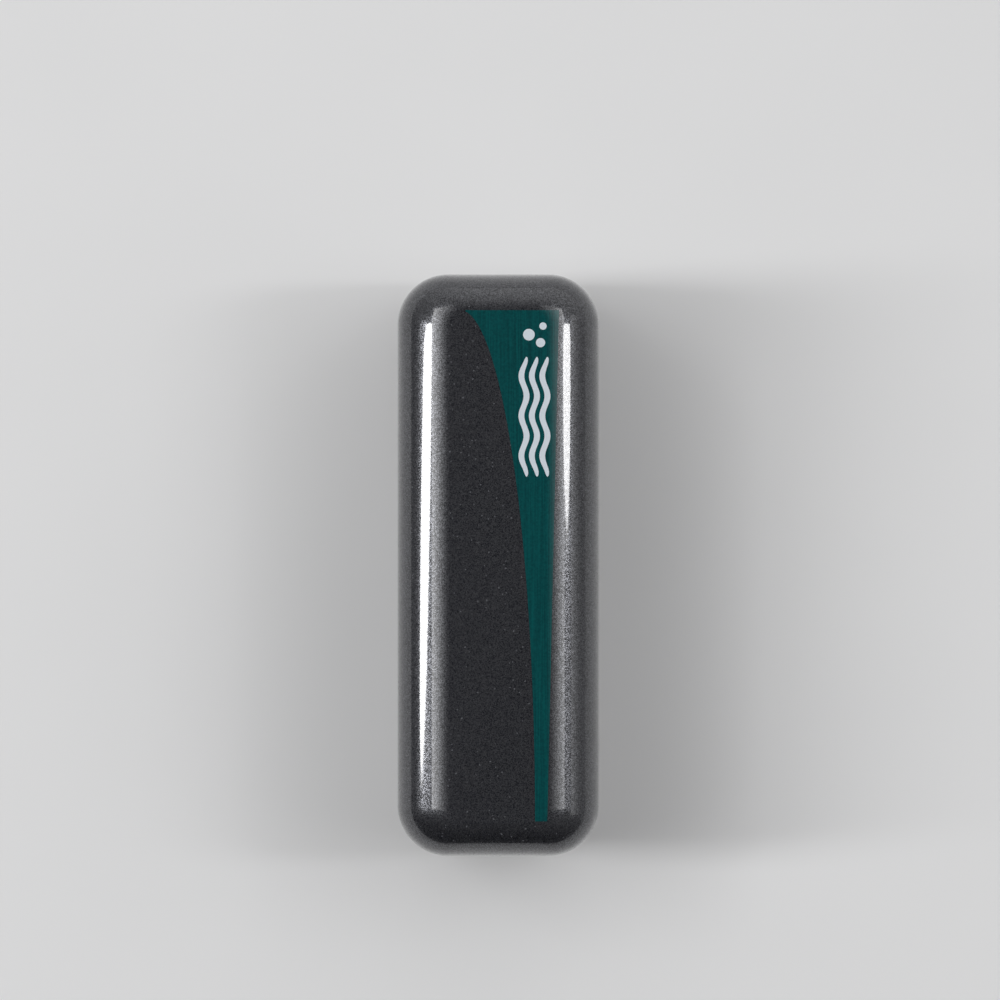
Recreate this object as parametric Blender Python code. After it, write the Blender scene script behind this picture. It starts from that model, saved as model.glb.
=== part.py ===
"""Magnetic glass cleaner for an aquarium, as the pair is stored: pad to pad.

The float half lies on its crown and works inside the tank. The scouring pad is
hooked to its face. The handle half, with the green label, lies on top and works
outside the glass. +Y runs along the bar, +Z up, and the origin is the middle of
the crown that the pair rests on.
"""

import math

import bmesh
import bpy

MM = 0.001

# Driving sizes of the pair, in millimetres.
WIDTH = 33.5
LENGTH = 96.0
HALF_HEIGHT = 17.0
PAD_STACK = 7.5
CORNER = 8.5
WALL = 2.0
GAP = 0.3

# How far a cutting body runs past what it cuts.
OVERCUT = 1.0

# The crown: side walls with a little draft, then a shoulder that rolls over to a flat.
SHOULDER_FOOT = 9.0
DRAFT = 0.25
SIDE_ROLL = 8.7
END_ROLL = 6.1
FLAT_CORNER = 2.5
ARC_STEPS = 6
ROLL_STEPS = 8
SMOOTH_BELOW = 35.0
BEVEL_ABOVE = 50.0

# The base plate that closes each half.
PLATE = 2.4
RECESS_MARGIN = 1.8
RECESS_DEPTH = 0.6
TONGUE_INSET = WALL + GAP
TONGUE_WALL = 1.2
TONGUE_TOP = 6.4
COVER_RIM = PLATE + GAP

# Snap beads on the tongue, and the grooves in the cover that they click into.
BEAD_PLACES = (-28.0, 0.0, 28.0)
BEAD_LENGTH = 8.0
BEAD_REACH = 0.7
BEAD_HEIGHT = 0.8
BEAD_Z = 5.2

# The ring that keeps water out of the float half, in a rabbet of the cover's rim.
SEAL_DIAMETER = 0.9
RABBET_INSET = 0.8
RABBET_DEPTH = 1.2

# Magnets in a row along the bar, under a steel keeper plate held by two staked posts.
# The float half's magnets and keeper are thinner, so that it still floats.
MAGNET_PLACES = (-30.0, -10.0, 10.0, 30.0)
MAGNET_LENGTH = 16.0
MAGNET_EDGE = 0.4
HANDLE_MAGNET_WIDTH = 16.0
HANDLE_MAGNET_THICKNESS = 5.0
HANDLE_KEEPER = 1.5
FLOAT_MAGNET_WIDTH = 12.0
FLOAT_MAGNET_THICKNESS = 3.0
FLOAT_KEEPER = 0.8
POCKET_FLOOR = 1.6
POCKET_WALL = 1.2
KEEPER_LENGTH = 78.0
KEEPER_OVERLAP = 0.8
KEEPER_CORNER = 2.0
POST_PLACES = (-20.0, 20.0)
POST_RADIUS = 1.3
POST_HEAD_RADIUS = 2.3
POST_HEAD = 0.9
POST_SIDES = 20

# Stiffening ribs under the crown, and the foam block that they press on.
RIB_PLACES = (-26.0, 0.0, 26.0)
RIB_WIDTH = 1.2
RIB_HALF_SPAN = 9.0
RIB_DEPTH = 2.0
FOAM_HALF_WIDTH = 11.5
FOAM_HALF_LENGTH = 42.0
FOAM_CORNER = 5.0
FOAM_CHAMFER = 1.5

# Pads between the halves. Heights are above or below a half's glass face.
FELT = 2.6
HOOK_TAPE = 1.1
LOOP_BACKING = 0.8
SCOUR = 2.7
PAD_EDGE = 0.4
TAPE_EDGE = 0.2

# The green label: straight right edge, and a quarter ellipse on the left.
LABEL_END = 41.6
LABEL_CURVE_X = -6.2
LABEL_CURVE_REACH = 12.2
LABEL_TIP_TURN = 85.9
LABEL_RIGHT_TOP = 9.9
LABEL_RIGHT_FOOT = 8.0
LABEL_STEPS = 14
LABEL_SINK = 0.05
LABEL_FILM = 0.15
LABEL_RECESS = 0.35

# Each finish: name, colour, roughness and metallic value.
FINISHES = {
    "plastic": ("black flake plastic", (0.022, 0.023, 0.026), 0.38, 0.0),
    "nickel": ("nickel plated magnet", (0.62, 0.61, 0.58), 0.22, 1.0),
    "steel": ("zinc plated steel", (0.45, 0.46, 0.48), 0.35, 1.0),
    "foam": ("closed cell foam", (0.78, 0.79, 0.76), 0.9, 0.0),
    "rubber": ("seal rubber", (0.03, 0.03, 0.03), 0.6, 0.0),
    "film": ("green label film", (0.003, 0.052, 0.055), 0.35, 0.0),
    "felt": ("charcoal felt", (0.035, 0.035, 0.038), 0.95, 0.0),
    "hooks": ("hook tape", (0.02, 0.02, 0.02), 0.55, 0.0),
    "loops": ("loop backing", (0.10, 0.10, 0.11), 0.9, 0.0),
    "fleece": ("scouring fleece", (0.30, 0.32, 0.31), 0.95, 0.0),
}


def clear_scene():
    for obj in list(bpy.data.objects):
        bpy.data.objects.remove(obj, do_unlink=True)


def material(name, colour, roughness, metallic):
    made = bpy.data.materials.new(name)
    made.use_nodes = True
    shader = made.node_tree.nodes["Principled BSDF"]
    shader.inputs["Base Color"].default_value = (*colour, 1.0)
    shader.inputs["Roughness"].default_value = roughness
    shader.inputs["Metallic"].default_value = metallic
    return made


def piece_name(half, piece):
    """A node's name: handle_cover for the cover of handle_half."""
    return half.name.replace("half", piece)


def add_object(name, data, parent):
    obj = bpy.data.objects.new(name, data)
    bpy.context.scene.collection.objects.link(obj)
    obj.parent = parent
    return obj


def finish(name, bm, parent, finish_material=None):
    """Turn a bmesh in millimetres into an object in metres."""
    bmesh.ops.scale(bm, vec=(MM, MM, MM), verts=bm.verts)
    bmesh.ops.recalc_face_normals(bm, faces=bm.faces)
    mesh = bpy.data.meshes.new(name)
    bm.to_mesh(mesh)
    bm.free()
    obj = add_object(name, mesh, parent)
    if finish_material:
        mesh.materials.append(finish_material)
        mesh.shade_smooth()
        mesh.set_sharp_from_angle(angle=math.radians(SMOOTH_BELOW))
    return obj


def rounded_rectangle(half_x, half_y, radius):
    """Outline points, anticlockwise, with each corner an arc."""
    points = []
    for corner, (side_x, side_y) in enumerate(((1, 1), (-1, 1), (-1, -1), (1, -1))):
        centre_x = side_x * (half_x - radius)
        centre_y = side_y * (half_y - radius)
        for step in range(ARC_STEPS + 1):
            angle = math.radians(90 * (corner + step / ARC_STEPS))
            points.append((centre_x + radius * math.cos(angle), centre_y + radius * math.sin(angle)))
    return points


def plan(inset):
    """The bar's outline seen from above, drawn in by inset."""
    return rounded_rectangle(WIDTH / 2 - inset, LENGTH / 2 - inset, CORNER - inset)


def loft(name, levels, parent, finish_material=None):
    """A closed body through outlines of equal point count: levels is [(outline, z), ...]."""
    bm = bmesh.new()
    rings = [[bm.verts.new((x, y, z)) for x, y in outline] for outline, z in levels]
    count = len(rings[0])
    for low, high in zip(rings, rings[1:]):
        for i in range(count):
            j = (i + 1) % count
            bm.faces.new((low[i], low[j], high[j], high[i]))
    bm.faces.new(list(reversed(rings[0])))
    bm.faces.new(rings[-1])
    return finish(name, bm, parent, finish_material)


def slab(name, outline, low, high, parent, finish_material=None):
    return loft(name, [(outline, low), (outline, high)], parent, finish_material)


def box(name, centre, size, parent, finish_material=None):
    bm = bmesh.new()
    bmesh.ops.create_cube(bm, size=1.0)
    bmesh.ops.scale(bm, vec=size, verts=bm.verts)
    bmesh.ops.translate(bm, vec=centre, verts=bm.verts)
    return finish(name, bm, parent, finish_material)


def post(name, place, radius, low, high, parent):
    bm = bmesh.new()
    bmesh.ops.create_cone(
        bm, cap_ends=True, segments=POST_SIDES, radius1=radius, radius2=radius, depth=high - low
    )
    bmesh.ops.translate(bm, vec=(0.0, place, (low + high) / 2), verts=bm.verts)
    return finish(name, bm, parent)


def combine(target, tool, operation):
    """Join, cut or intersect target with a helper body, which is then left out of the model."""
    modifier = target.modifiers.new(tool.name, "BOOLEAN")
    modifier.operation = operation
    modifier.solver = "EXACT"
    modifier.object = tool
    tool.hide_render = True
    tool.display_type = "WIRE"


def round_edges(obj, width, segments=2):
    bevel = obj.modifiers.new("rounded edges", "BEVEL")
    bevel.width = width * MM
    bevel.segments = segments
    bevel.limit_method = "ANGLE"
    bevel.angle_limit = math.radians(BEVEL_ABOVE)


def crown_levels(inset, foot):
    """Outlines of the bar's outside from foot up, moved in by inset along the surface normal."""
    levels = [(plan(inset), foot)]
    for step in range(ROLL_STEPS + 1):
        turn = math.radians(90 * step / ROLL_STEPS)
        roll = 1 - math.cos(turn)
        inwards = DRAFT + inset * math.cos(turn)
        outline = rounded_rectangle(
            WIDTH / 2 - SIDE_ROLL * roll - inwards,
            LENGTH / 2 - END_ROLL * roll - inwards,
            CORNER + (FLAT_CORNER - CORNER) * roll - inwards * math.cos(turn),
        )
        rise = (HALF_HEIGHT - SHOULDER_FOOT - inset) * math.sin(turn)
        levels.append((outline, SHOULDER_FOOT + rise))
    return levels


def label_outline(margin):
    """The label's outline, grown by margin: clockwise from the foot of its straight edge."""
    end = LABEL_END + margin
    points = [(LABEL_RIGHT_FOOT + margin, -end), (LABEL_RIGHT_TOP + margin, end)]
    curve = []
    for step in range(LABEL_STEPS + 1):
        turn = math.radians(LABEL_TIP_TURN * (1 - step / LABEL_STEPS))
        x = LABEL_CURVE_X - margin + LABEL_CURVE_REACH * math.cos(turn)
        curve.append((x, LABEL_END * (2 * math.sin(turn) - 1)))
    if margin == 0:
        return points + curve
    return points + [(curve[0][0], end)] + curve + [(curve[-1][0], -end)]


def snap_places():
    return [(side, y) for side in (-1, 1) for y in BEAD_PLACES]


def make_cover(half, plastic, sealed, labelled):
    """Crowned shell: a hollow loft with ribs under the crown and grooves for the snap beads."""
    name = piece_name(half, "cover")
    cover = loft(name, crown_levels(0.0, COVER_RIM), half, plastic)
    combine(cover, loft(name + "_cavity", crown_levels(WALL, -OVERCUT), half), "DIFFERENCE")
    for y in RIB_PLACES:
        top = HALF_HEIGHT - WALL / 2
        low = HALF_HEIGHT - WALL - RIB_DEPTH
        size = (2 * RIB_HALF_SPAN, RIB_WIDTH, top - low)
        rib = box(f"{name}_rib_{y:+.0f}", (0.0, y, (top + low) / 2), size, half)
        combine(cover, rib, "UNION")
    for side, y in snap_places():
        depth = BEAD_REACH + OVERCUT
        x = side * (WIDTH / 2 - TONGUE_INSET + BEAD_REACH + GAP - depth / 2)
        size = (depth, BEAD_LENGTH + 2 * GAP, BEAD_HEIGHT + 2 * GAP)
        combine(cover, box(f"{name}_groove_{side}_{y:+.0f}", (x, y, BEAD_Z), size, half), "DIFFERENCE")
    if sealed:
        rabbet = slab(name + "_rabbet", plan(RABBET_INSET), -OVERCUT, COVER_RIM + RABBET_DEPTH, half)
        combine(cover, rabbet, "DIFFERENCE")
    if labelled:
        combine(cover, label_body(name + "_label_seat", half, GAP, LABEL_RECESS), "DIFFERENCE")


def label_body(name, half, margin, depth, film=None):
    """The label's outline stood up through the crown, cut off at depth under the surface."""
    body = slab(name, label_outline(margin), HALF_HEIGHT / 2, HALF_HEIGHT + OVERCUT, half, film)
    combine(body, loft(name + "_bed", crown_levels(depth, -OVERCUT), half), "DIFFERENCE")
    return body


def make_label(half, film):
    """The film, sunk a hair below the crown's surface."""
    name = piece_name(half, "label")
    label = label_body(name, half, 0.0, LABEL_SINK + LABEL_FILM, film)
    combine(label, loft(name + "_skin", crown_levels(LABEL_SINK, -OVERCUT), half), "INTERSECT")


def make_base(half, plastic, magnet_width, keeper_foot, keeper_top):
    """Plate with a seat for its pad, a tongue, magnet pockets, staked posts and snap beads."""
    name = piece_name(half, "base")
    base = slab(name, plan(0.0), 0.0, PLATE, half, plastic)
    tongue = slab(name + "_tongue", plan(TONGUE_INSET), PLATE / 2, TONGUE_TOP, half)
    well = slab(name + "_well", plan(TONGUE_INSET + TONGUE_WALL), 0.0, TONGUE_TOP + OVERCUT, half)
    combine(tongue, well, "DIFFERENCE")
    combine(base, tongue, "UNION")
    block_x = magnet_width + 2 * (GAP + POCKET_WALL)
    block_y = 2 * MAGNET_PLACES[-1] + MAGNET_LENGTH + 2 * (GAP + POCKET_WALL)
    block_top = keeper_foot - 2 * GAP
    block_z = (POCKET_FLOOR + block_top) / 2
    size = (block_x, block_y, block_top - POCKET_FLOOR)
    combine(base, box(name + "_pocket_block", (0.0, 0.0, block_z), size, half), "UNION")
    for y in MAGNET_PLACES:
        pocket = (magnet_width + 2 * GAP, MAGNET_LENGTH + 2 * GAP, 2 * (block_top - POCKET_FLOOR))
        combine(base, box(f"{name}_pocket_{y:+.0f}", (0.0, y, block_top), pocket, half), "DIFFERENCE")
    for y in POST_PLACES:
        head = keeper_top + GAP
        shank = post(f"{name}_post_{y:+.0f}", y, POST_RADIUS, PLATE / 2, head + POST_HEAD / 2, half)
        combine(base, shank, "UNION")
        cap = post(f"{name}_cap_{y:+.0f}", y, POST_HEAD_RADIUS, head, head + POST_HEAD, half)
        combine(base, cap, "UNION")
    for side, y in snap_places():
        depth = BEAD_REACH + TONGUE_WALL / 2
        x = side * (WIDTH / 2 - TONGUE_INSET + BEAD_REACH - depth / 2)
        bead = box(f"{name}_bead_{side}_{y:+.0f}", (x, y, BEAD_Z), (depth, BEAD_LENGTH, BEAD_HEIGHT), half)
        round_edges(bead, BEAD_HEIGHT / 4, 1)
        combine(base, bead, "UNION")
    pad_seat = slab(name + "_pad_seat", plan(RECESS_MARGIN), -OVERCUT, RECESS_DEPTH, half)
    combine(base, pad_seat, "DIFFERENCE")


def make_magnets(half, nickel, width, thickness):
    """Four blocks in a row, poles turned alternately."""
    low = POCKET_FLOOR + GAP
    for number, y in enumerate(MAGNET_PLACES, start=1):
        name = piece_name(half, f"magnet_{number}")
        magnet = box(name, (0.0, y, low + thickness / 2), (width, MAGNET_LENGTH, thickness), half, nickel)
        round_edges(magnet, MAGNET_EDGE)


def make_keeper(half, steel, half_width, low, high):
    """Steel strip across the magnets' backs, with a hole for each staked post."""
    name = piece_name(half, "keeper_plate")
    outline = rounded_rectangle(half_width, KEEPER_LENGTH / 2, KEEPER_CORNER)
    keeper = slab(name, outline, low, high, half, steel)
    for y in POST_PLACES:
        hole = post(f"{name}_hole_{y:+.0f}", y, POST_RADIUS + GAP, low - OVERCUT, high + OVERCUT, half)
        combine(keeper, hole, "DIFFERENCE")


def make_foam(half, foam, low):
    """Closed-cell block that fills the space between the keeper and the crown's ribs."""
    high = HALF_HEIGHT - WALL - RIB_DEPTH - GAP
    wide = rounded_rectangle(FOAM_HALF_WIDTH, FOAM_HALF_LENGTH, FOAM_CORNER)
    drawn_in = rounded_rectangle(
        FOAM_HALF_WIDTH - FOAM_CHAMFER, FOAM_HALF_LENGTH - FOAM_CHAMFER, FOAM_CORNER - FOAM_CHAMFER
    )
    levels = [(wide, low), (wide, high - FOAM_CHAMFER), (drawn_in, high)]
    loft(piece_name(half, "foam_block"), levels, half, foam)


def make_seal(half, rubber):
    """Round cord bent into a ring round the tongue, in the cover's rabbet."""
    name = piece_name(half, "seal_ring")
    curve = bpy.data.curves.new(name, "CURVE")
    curve.dimensions = "3D"
    curve.bevel_depth = SEAL_DIAMETER / 2 * MM
    curve.bevel_resolution = 2
    inset = TONGUE_INSET - GAP - SEAL_DIAMETER / 2
    path = plan(inset)
    spline = curve.splines.new("POLY")
    spline.points.add(len(path) - 1)
    for point, (x, y) in zip(spline.points, path):
        point.co = (x * MM, y * MM, (COVER_RIM + SEAL_DIAMETER / 2) * MM, 1.0)
    spline.use_cyclic_u = True
    curve.materials.append(rubber)
    add_object(name, curve, half)


def make_pad(name, parent, fabric, low, thickness, edge):
    """A die-cut pad with a softened edge, a little smaller than the seat in the base."""
    pad = slab(name, plan(RECESS_MARGIN + GAP), low, low + thickness, parent, fabric)
    round_edges(pad, edge)


def make_half(half, finishes, magnet_width, magnet_thickness, keeper, sealed):
    """The pieces that both halves have."""
    keeper_foot = POCKET_FLOOR + magnet_thickness + 2 * GAP
    keeper_top = keeper_foot + keeper
    keeper_half_width = magnet_width / 2 + KEEPER_OVERLAP
    make_cover(half, finishes["plastic"], sealed=sealed, labelled=not sealed)
    make_base(half, finishes["plastic"], magnet_width, keeper_foot, keeper_top)
    make_magnets(half, finishes["nickel"], magnet_width, magnet_thickness)
    make_keeper(half, finishes["steel"], keeper_half_width, keeper_foot, keeper_top)
    make_foam(half, finishes["foam"], keeper_top + POST_HEAD + 2 * GAP)


def make_handle_half(finishes):
    """The outer half: crown up, felt down, and the label let into its crown."""
    half = add_object("handle_half", None, None)
    half.location = (0.0, 0.0, (HALF_HEIGHT + PAD_STACK) * MM)
    make_half(half, finishes, HANDLE_MAGNET_WIDTH, HANDLE_MAGNET_THICKNESS, HANDLE_KEEPER, sealed=False)
    make_label(half, finishes["film"])
    felt_foot = RECESS_DEPTH - GAP - FELT
    make_pad("handle_felt_pad", half, finishes["felt"], felt_foot, FELT, PAD_EDGE)


def make_float_half(finishes):
    """The wet half: turned over, sealed, and faced with hook tape."""
    half = add_object("float_half", None, None)
    half.location = (0.0, 0.0, HALF_HEIGHT * MM)
    half.rotation_euler = (0.0, math.pi, 0.0)
    make_half(half, finishes, FLOAT_MAGNET_WIDTH, FLOAT_MAGNET_THICKNESS, FLOAT_KEEPER, sealed=True)
    make_seal(half, finishes["rubber"])
    tape_foot = RECESS_DEPTH - GAP - HOOK_TAPE
    make_pad("float_hook_tape", half, finishes["hooks"], tape_foot, HOOK_TAPE, TAPE_EDGE)


def make_scrub_pad(finishes):
    """The pad that the hook tape holds: a loop backing laminated to scouring fleece."""
    pad = add_object("scrub_pad", None, None)
    pad.location = (0.0, 0.0, HALF_HEIGHT * MM)
    backing_foot = HOOK_TAPE - RECESS_DEPTH + 2 * GAP
    make_pad("scrub_loop_backing", pad, finishes["loops"], backing_foot, LOOP_BACKING, TAPE_EDGE)
    fleece_foot = backing_foot + LOOP_BACKING + GAP
    make_pad("scrub_scouring_pad", pad, finishes["fleece"], fleece_foot, SCOUR, PAD_EDGE)


def main():
    clear_scene()
    finishes = {key: material(*values) for key, values in FINISHES.items()}
    make_handle_half(finishes)
    make_float_half(finishes)
    make_scrub_pad(finishes)


main()
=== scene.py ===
# %% [markdown]
# # A magnetic glass cleaner, stored pad to pad
#
# The cleaner is two black bars that pull on each other through aquarium glass. The handle half, with the
# green label, stays outside. The float half works in the water and rises to the surface when it comes loose.
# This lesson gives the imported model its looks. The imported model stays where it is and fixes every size. Each
# new piece below stands for one of its nodes, rides on that node's body, and is worked out in millimetres.

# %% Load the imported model
import math

import bpy
import numpy as np
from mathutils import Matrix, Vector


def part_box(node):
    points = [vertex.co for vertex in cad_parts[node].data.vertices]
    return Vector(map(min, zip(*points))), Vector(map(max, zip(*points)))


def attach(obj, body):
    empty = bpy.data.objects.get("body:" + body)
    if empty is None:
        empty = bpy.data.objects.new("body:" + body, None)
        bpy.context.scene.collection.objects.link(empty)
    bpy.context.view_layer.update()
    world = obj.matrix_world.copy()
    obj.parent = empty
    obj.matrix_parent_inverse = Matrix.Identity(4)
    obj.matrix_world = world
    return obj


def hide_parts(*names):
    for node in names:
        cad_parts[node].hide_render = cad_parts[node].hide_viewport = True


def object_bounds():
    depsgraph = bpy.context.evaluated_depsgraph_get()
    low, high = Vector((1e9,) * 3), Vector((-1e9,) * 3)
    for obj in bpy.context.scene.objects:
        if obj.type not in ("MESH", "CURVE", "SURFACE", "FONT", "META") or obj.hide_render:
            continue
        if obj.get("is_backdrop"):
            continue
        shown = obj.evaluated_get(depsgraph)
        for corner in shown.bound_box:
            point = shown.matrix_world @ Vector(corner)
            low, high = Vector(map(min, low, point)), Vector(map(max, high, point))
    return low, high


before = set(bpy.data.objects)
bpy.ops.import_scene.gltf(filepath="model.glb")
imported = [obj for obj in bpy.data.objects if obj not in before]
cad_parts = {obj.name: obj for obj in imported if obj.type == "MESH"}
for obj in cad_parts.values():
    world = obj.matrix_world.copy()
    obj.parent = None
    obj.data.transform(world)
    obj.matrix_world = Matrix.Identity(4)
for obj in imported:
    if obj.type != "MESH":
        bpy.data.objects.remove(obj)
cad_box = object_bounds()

MM = 0.001


def node_box(node):
    """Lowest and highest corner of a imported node, in millimetres."""
    return [np.array(corner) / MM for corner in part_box(node)]


# %% [markdown]
# ## Sizes
#
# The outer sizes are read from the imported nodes, so the looks can't drift away from the model. What a box
# can't tell, such as how the shoulder rolls over, is repeated here as a few named values.
#
# Both halves share one drawing. In it, height 0 is the face towards the glass and the crown is on top. The
# handle half is lifted into place, and the float half is turned over, as on a bench.

# %% Driving sizes
base_low, base_high = node_box("handle_base")
cover_low, cover_high = node_box("handle_cover")
WIDTH, LENGTH = (base_high - base_low)[:2]
HANDLE_FACE = base_low[2]
FLOAT_FACE = node_box("float_base")[1][2]
HEIGHT = cover_high[2] - HANDLE_FACE
COVER_RIM = cover_low[2] - HANDLE_FACE

GAP = 0.3
WALL = 2.0
CORNER = 8.5
SHOULDER_FOOT = 9.0
DRAFT = 0.25
SIDE_ROLL = 8.7
END_ROLL = 6.1
FLAT_CORNER = 2.5
PLATE = COVER_RIM - GAP
SEAT_INSET = 1.8
SEAT_DEPTH = 0.6
print(f"each half is {WIDTH:.1f} x {LENGTH:.1f} x {HEIGHT:.1f} mm")

# %% [markdown]
# ## The camera
#
# The bar is seen straight from above, a little below the middle of the frame, with a long lens so that its
# sides hardly show. A long lens far away keeps the crown and the base nearly the same size.

# %% Camera
LENS = 183.2
CAMERA_HEIGHT = 828.0
CAMERA_PLACE = (0.3, 10.7)

camera_data = bpy.data.cameras.new("camera")
camera_data.lens = LENS
camera = bpy.data.objects.new("camera", camera_data)
camera.location = (CAMERA_PLACE[0] * MM, CAMERA_PLACE[1] * MM, cad_box[1][2] + CAMERA_HEIGHT * MM)
bpy.context.scene.collection.objects.link(camera)
bpy.context.scene.camera = camera
print(f"the camera is {CAMERA_HEIGHT:.0f} mm above the crown")

# %% [markdown]
# ## From arrays to pieces
#
# A shape is a pair: an array of points and a list of faces. Three ways of making one cover everything here:
# outlines stacked into a body, a sheet with a top and an underside, and thin tubes along paths. Whole arrays
# are worked out at once, which is fast and keeps each formula in one place.

# %% Shapes as points and faces


def stack(rings):
    """Closed body through rings of equal point count, anticlockwise seen from the last ring's side.

    rings is (rings, points, 3). Neighbouring rings are joined by four-sided faces, and both ends are capped.
    """
    count, around = rings.shape[:2]
    index = np.arange(count * around).reshape(count, around)
    beside = np.roll(index, -1, axis=1)
    quads = np.stack([index[:-1], beside[:-1], beside[1:], index[1:]], axis=-1).reshape(-1, 4)
    return rings.reshape(-1, 3), quads.tolist() + [index[0, ::-1].tolist(), index[-1].tolist()]


def film(top, underside):
    """Closed thin body between two grids of points: rows along +Y, columns along +X."""
    rows, columns = top.shape[:2]
    index = np.arange(rows * columns).reshape(rows, columns)
    upper = np.stack([index[:-1, :-1], index[:-1, 1:], index[1:, 1:], index[1:, :-1]], axis=-1).reshape(-1, 4)
    lower = upper[:, ::-1] + rows * columns
    edge = np.concatenate([index[0, :-1], index[:-1, -1], index[-1, :0:-1], index[:0:-1, 0]])
    onward = np.roll(edge, -1)
    sides = np.stack([edge, edge + rows * columns, onward + rows * columns, onward], axis=-1)
    points = np.concatenate([top.reshape(-1, 3), underside.reshape(-1, 3)])
    return points, np.concatenate([upper, lower, sides]).tolist()


def tubes(paths, radius, sides=3):
    """Thin closed tubes along many paths at once; paths is (tubes, stops, 3).

    At each stop the ring's two directions are the path's direction crossed with a fixed slanted one, and the
    path's direction crossed with that.
    """
    along = np.gradient(paths, axis=1)
    along /= np.linalg.norm(along, axis=-1, keepdims=True) + 1e-9
    across = np.cross(along, (0.48, 0.60, 0.64))
    across /= np.linalg.norm(across, axis=-1, keepdims=True) + 1e-9
    upward = np.cross(along, across)
    turn = np.linspace(0, 2 * np.pi, sides, endpoint=False)[:, None]
    rings = paths[:, :, None] + radius * (
        np.cos(turn) * across[:, :, None] + np.sin(turn) * upward[:, :, None]
    )
    index = np.arange(rings[..., 0].size).reshape(rings.shape[:3])
    beside = np.roll(index, -1, axis=2)
    quads = np.stack([index[:, :-1], beside[:, :-1], beside[:, 1:], index[:, 1:]], axis=-1).reshape(-1, 4)
    caps = np.concatenate([index[:, 0, ::-1], index[:, -1]])
    return rings.reshape(-1, 3), quads.tolist() + caps.tolist()


def together(*shapes):
    """Several shapes as one."""
    points = np.concatenate([shape[0] for shape in shapes])
    starts = np.cumsum([0] + [len(shape[0]) for shape in shapes])
    faces = [[corner + start for corner in face] for shape, start in zip(shapes, starts) for face in shape[1]]
    return points, faces


one_tube = tubes(np.array([[(0.0, 0.0, 0.0), (0.0, 0.0, 1.0)]]), radius=0.1)
print(f"a tube through two points has {len(one_tube[1])} faces")

# %% [markdown]
# ## Placing a piece
#
# Every object sits at the origin with its place in its mesh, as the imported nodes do. Turning the float half
# over is a half turn about Y: x and height change sign together, which keeps the faces pointing outwards.

# %% Putting shapes into the scene
SHARP_ABOVE = math.radians(40)


def on_handle(shape):
    """The drawing lifted to the handle half's face."""
    points, faces = shape
    return points + (0.0, 0.0, HANDLE_FACE), faces


def on_float(shape):
    """The drawing turned over about Y and set on the float half's face."""
    points, faces = shape
    return points * (-1.0, 1.0, -1.0) + (0.0, 0.0, FLOAT_FACE), faces


def piece(name, shape, material, body, stands_for=()):
    """An object from a shape in millimetres. It rides on a body and stands for nodes."""
    points, faces = shape
    mesh = bpy.data.meshes.new(name)
    mesh.from_pydata(points * MM, [], faces)
    mesh.shade_smooth()
    mesh.set_sharp_from_angle(angle=SHARP_ABOVE)
    mesh.materials.append(material)
    made = bpy.data.objects.new(name, mesh)
    bpy.context.scene.collection.objects.link(made)
    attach(made, body)
    if stands_for:
        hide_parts(*stands_for)
    print(f"{name}: {len(faces)} faces")
    return made


# %% [markdown]
# ## Writing shaders as sums
#
# A pattern is easier to read as an expression than as a web of wires. A small class wraps one output socket,
# and its operators add the Math nodes.

# %% A socket that can be added and multiplied


class Value:
    """One output socket. Arithmetic on it adds Math nodes and gives the result's socket."""

    def __init__(self, web, socket):
        self.web = web
        self.socket = socket

    def math(self, operation, *terms):
        """A Math node's result."""
        return self.web.node("Math", {"operation": operation}, dict(enumerate(terms)))[0]

    def __add__(self, other):
        return self.math("ADD", self, other)

    def __sub__(self, other):
        return self.math("SUBTRACT", self, other)

    def __rsub__(self, other):
        return self.math("SUBTRACT", other, self)

    def __mul__(self, other):
        return self.math("MULTIPLY", self, other)

    def power(self, exponent):
        return self.math("POWER", self, exponent)

    def step(self, low, high):
        """0 below low, 1 above high, and a smooth rise between them."""
        settings = {"interpolation_type": "SMOOTHSTEP"}
        inputs = {"Value": self, "From Min": low, "From Max": high}
        return self.web.node("MapRange", settings, inputs)[0]

    __radd__ = __add__
    __rmul__ = __mul__


# %% [markdown]
# Every other node comes from one method, which takes a node's kind, its settings and its inputs. A finish is
# a material made that way round the Principled shader. What is the same all over goes straight on the
# shader's own sockets. What varies is worked out from the place on the object, so it never slides.

# %% Node trees and finishes


class Web:
    """A node tree, filled by one method."""

    def __init__(self, tree):
        self.tree = tree

    def put(self, socket, value):
        """Links a value to a socket, or sets it. A colour of three numbers is made opaque."""
        if isinstance(value, Value):
            self.tree.links.new(value.socket, socket)
        elif hasattr(value, "__len__") and len(socket.default_value) > len(value):
            socket.default_value = (*value, 1.0)
        else:
            socket.default_value = value

    def node(self, kind, settings=None, inputs=None):
        """Adds a node: its settings first, then values or links by socket name or number."""
        made = self.tree.nodes.new("ShaderNode" + kind)
        for setting, value in (settings or {}).items():
            setattr(made, setting, value)
        for socket, value in (inputs or {}).items():
            self.put(made.inputs[socket], value)
        outputs = {name: Value(self, socket) for name, socket in made.outputs.items()}
        return outputs | {number: Value(self, socket) for number, socket in enumerate(made.outputs)}


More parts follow.
